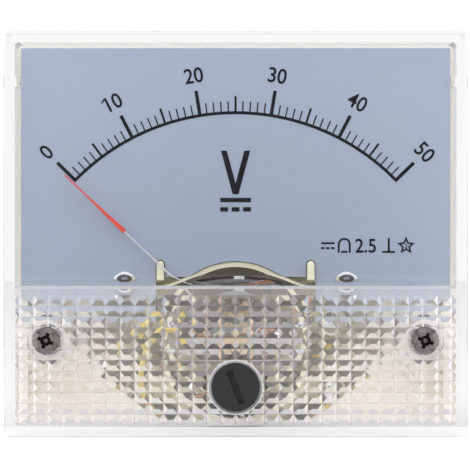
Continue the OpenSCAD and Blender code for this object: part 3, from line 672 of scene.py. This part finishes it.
def print_sign(name, bm, material):
    """Makes a printed sign drawn in millimetres and lays it on the dial."""
    bmesh.ops.scale(bm, verts=bm.verts, vec=(MM, MM, MM))
    middle = (min(v.co.y for v in bm.verts) + max(v.co.y for v in bm.verts)) / 2
    bmesh.ops.translate(bm, verts=bm.verts, vec=(0, PRINT_Y + PRINT_T / 2 - middle, 0))
    mesh_piece(name, bm, "case", material)


def number_flag(x, z, turn, material):
    """Slanted stroke at the top of the number 10's first figure, which the font lacks."""
    flag = bmesh.new()
    print_bar(flag, (-FLAG_LENGTH / 2, FLAG_LENGTH / 2), (-FLAG_STROKE / 2, FLAG_STROKE / 2))
    lean = Matrix.Rotation(FLAG_LEAN, 4, "Y")
    seat = Matrix.Translation(FLAG_SEAT)
    place = Matrix.Translation((x / MM, 0, z / MM)) @ Matrix.Rotation(turn, 4, "Y")
    bmesh.ops.transform(flag, matrix=place @ seat @ lean, verts=flag.verts)
    print_sign("scale_number_10_flag", flag, material)


def instrument_signs(material):
    """Row of usual signs: direct current, moving coil, class, upright use and test star."""
    current = bmesh.new()
    print_bar(current, (11.95, 13.83), (1.62, 1.9))
    for left in (11.95, 12.65, 13.35):
        print_bar(current, (left, left + 0.48), (0.94, 1.22))
    print_sign("sign_direct_current", current, material)

    magnet = bmesh.new()
    print_arch(magnet, x=15.19, z=1.6, outer=0.9, inner=0.63)
    print_bar(magnet, (14.29, 14.56), (0.44, 1.6))
    print_bar(magnet, (15.82, 16.09), (0.44, 1.6))
    print_bar(magnet, (14.76, 15.62), (0.44, 0.7))
    print_sign("sign_moving_coil", magnet, material)

    dial_text("class_number", "2.5", CLASS_H, 18.17 * MM, 1.41 * MM, 0, material)

    upright = bmesh.new()
    print_bar(upright, (21.27, 21.55), (0.6, 2.49))
    print_bar(upright, (20.5, 22.27), (0.41, 0.68))
    print_sign("sign_upright_use", upright, material)

    star = bmesh.new()
    print_star(star, x=23.82, z=1.4, outer=1.3, inner=0.6, stroke=0.22)
    print_sign("sign_test_star", star, material)
    dial_text("test_star_number", "2", STAR_NUMBER_H, 23.82 * MM, 1.36 * MM, 0, material)


def make_world():
    """White studio whose far front is darker, as polished faces and the clear cover show."""
    world = bpy.data.worlds.new("studio")
    world.use_nodes = True
    tree = world.node_tree
    rays = tree.nodes.new("ShaderNodeLightPath")
    room = tree.nodes["Background"]
    room.inputs["Color"].default_value = (1, 1, 1, 1)
    room.inputs["Strength"].default_value = ROOM_LIGHT
    shown = tree.nodes.new("ShaderNodeBackground")
    shown.inputs["Color"].default_value = (1, 1, 1, 1)
    direction = tree.nodes.new("ShaderNodeTexCoord").outputs["Generated"]
    front = value_range(tree, axes(tree, direction)[1], FRONT_DARK, 1, *FRONT_EDGE)
    camera_ray = rays.outputs["Is Camera Ray"]
    tree.links.new(larger(tree, front, camera_ray), shown.inputs["Strength"])
    seen = larger(tree, camera_ray, rays.outputs["Is Glossy Ray"])
    seen = larger(tree, seen, rays.outputs["Is Transmission Ray"])
    light = over(tree, room.outputs["Background"], seen, shown.outputs["Background"])
    tree.links.new(light, tree.nodes["World Output"].inputs["Surface"])
    bpy.context.scene.world = world


def make_floor():
    """White floor under the meter, which the lens sees as bright as the backdrop."""
    material, tree, shader = new_material("studio_floor")
    shader.inputs["Base Color"].default_value = (0.8, 0.8, 0.8, 1)
    shader.inputs["Roughness"].default_value = 0.9
    shader.inputs["Specular IOR Level"].default_value = 0
    shader.inputs["Emission Color"].default_value = (1, 1, 1, 1)
    rays = tree.nodes.new("ShaderNodeLightPath")
    direct = product(tree, rays.outputs["Is Camera Ray"], FLOOR_GLOW_SEEN)
    through = product(tree, rays.outputs["Is Transmission Ray"], FLOOR_GLOW_THROUGH)
    tree.links.new(larger(tree, direct, through), shader.inputs["Emission Strength"])
    bm = bmesh.new()
    bmesh.ops.create_grid(bm, x_segments=1, y_segments=1, size=FLOOR_SIZE)
    bmesh.ops.translate(bm, verts=bm.verts, vec=(0, 0, face_low.z))
    floor = mesh_object("floor", bm, material)


def soft_lamp(name, place, size, power):
    """Square lamp that faces the middle of the meter."""
    lamp = bpy.data.lights.new(name, "AREA")
    lamp.size = size
    lamp.energy = power
    holder = bpy.data.objects.new(name, lamp)
    holder.location = place
    aim = FACE_CENTRE - Vector(place)
    holder.rotation_euler = aim.to_track_quat("-Z", "Y").to_euler()
    bpy.context.scene.collection.objects.link(holder)


def make_camera():
    """Straight-on view of the front through a long lens."""
    data = bpy.data.cameras.new("camera")
    data.sensor_width = SENSOR_WIDTH
    data.lens = SENSOR_WIDTH * CAMERA_DISTANCE / SEEN_WIDTH
    camera = bpy.data.objects.new("camera", data)
    camera.location = (AIM_X, face_low.y - CAMERA_DISTANCE, FACE_CENTRE.z + AIM_Z)
    camera.rotation_euler = (math.radians(90), 0, 0)
    bpy.context.scene.collection.objects.link(camera)
    bpy.context.scene.camera = camera


finishes = make_finishes()
dress_nodes(finishes)
scale_numbers(finishes["black_ink"])
instrument_signs(finishes["black_ink"])
make_world()
make_floor()
soft_lamp("key_lamp", place=(-0.35, -0.6, 0.5), size=0.5, power=1.9)
soft_lamp("fill_lamp", place=(0.5, -0.5, 0.25), size=0.6, power=1.1)
make_camera()
bpy.context.scene.view_settings.view_transform = "Standard"
